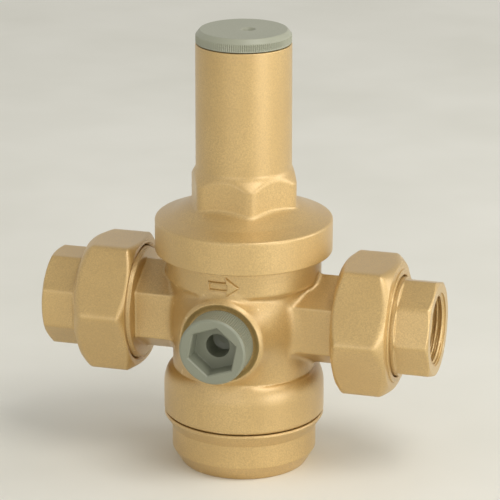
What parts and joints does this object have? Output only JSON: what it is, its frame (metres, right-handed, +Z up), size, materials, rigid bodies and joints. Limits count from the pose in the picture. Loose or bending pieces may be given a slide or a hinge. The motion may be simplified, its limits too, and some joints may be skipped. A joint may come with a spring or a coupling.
{
  "type": "pressure reducing valve",
  "caption": "Forged brass pressure reducing valve: grey adjusting cap over a spring housing, hex bonnet, plugged gauge port, union nuts with female tailpieces.",
  "frame": {"origin": "centre of the bottom cap's flat underside, on the valve's vertical axis", "axes": "+Z up along the adjusting axis; +X along the pipe axis towards the outlet; -Y towards the gauge port"},
  "size_m": [0.145, 0.073, 0.1626],
  "materials": {
    "forged_brass": "fine shot-blasted satin forging",
    "machined_brass": "turned",
    "grey_plastic": "moulded, satin",
    "steel": "drawn or turned stainless steel",
    "rubber": "moulded rubber",
    "fibre": "pressed fibre gasket"
  },
  "bodies": {
    "valve_body": {"body": "forged_brass", "bottom_cap": "forged_brass", "bottom_cap_oring": "rubber", "bonnet": "forged_brass", "slip_ring": "grey_plastic", "seat_ring": "steel", "diaphragm": "rubber"},
    "cap": {"top_cap": "grey_plastic"},
    "screw": {"adjusting_screw": "steel"},
    "nut": {"spring_nut": "machined_brass", "adjusting_spring": "steel"},
    "valve_gear": {"diaphragm_plate_upper": "machined_brass", "diaphragm_plate_lower": "machined_brass", "stem": "steel", "stem_nut": "steel", "disc_holder": "machined_brass", "disc_seal": "rubber", "disc_nut": "machined_brass", "piston_oring": "rubber"},
    "plug": {"gauge_plug": "grey_plastic", "gauge_plug_oring": "rubber"},
    "inlet_nut": {"union_nut_inlet": "forged_brass"},
    "inlet_tail": {"tailpiece_inlet": "forged_brass", "union_gasket_inlet": "fibre"},
    "outlet_nut": {"union_nut_outlet": "forged_brass"},
    "outlet_tail": {"tailpiece_outlet": "forged_brass", "union_gasket_outlet": "fibre"}
  },
  "joints": [
    {"name": "cap_lift", "type": "slide", "parent": "valve_body", "child": "cap", "axis": [0, 0, 1], "range_m": [0, 0.014]},
    {"name": "screw_turn", "type": "hinge", "parent": "valve_body", "child": "screw", "pos_m": [0, 0, 0.1518], "axis": [0, 0, -1], "range_deg": [0, 1800]},
    {"name": "spring_nut_travel", "type": "slide", "parent": "valve_body", "child": "nut", "axis": [0, 0, -1], "range_m": [0, 0.00874], "deforming": ["adjusting_spring"]},
    {"name": "valve_stroke", "type": "slide", "parent": "valve_body", "child": "valve_gear", "axis": [0, 0, 1], "range_m": [0, 0.0022], "stiffness_N_per_m": 5000, "springref_m": -0.004, "deforming": ["diaphragm"]},
    {"name": "plug_withdraw", "type": "slide", "parent": "valve_body", "child": "plug", "axis": [0, -1, 0], "range_m": [0, 0.012]},
    {"name": "inlet_nut_turn", "type": "hinge", "parent": "valve_body", "child": "inlet_nut", "pos_m": [-0.049, 0, 0.0569], "axis": [1, 0, 0], "continuous": true},
    {"name": "inlet_tail_swivel", "type": "hinge", "parent": "valve_body", "child": "inlet_tail", "pos_m": [-0.062, 0, 0.0569], "axis": [1, 0, 0], "continuous": true},
    {"name": "outlet_nut_turn", "type": "hinge", "parent": "valve_body", "child": "outlet_nut", "pos_m": [0.049, 0, 0.0569], "axis": [1, 0, 0], "continuous": true},
    {"name": "outlet_tail_swivel", "type": "hinge", "parent": "valve_body", "child": "outlet_tail", "pos_m": [0.062, 0, 0.0569], "axis": [1, 0, 0], "continuous": true}
  ],
  "couplings": [
    {"joint": "screw_turn", "follows": "spring_nut_travel", "rad_per_m": 3590.4}
  ]
}
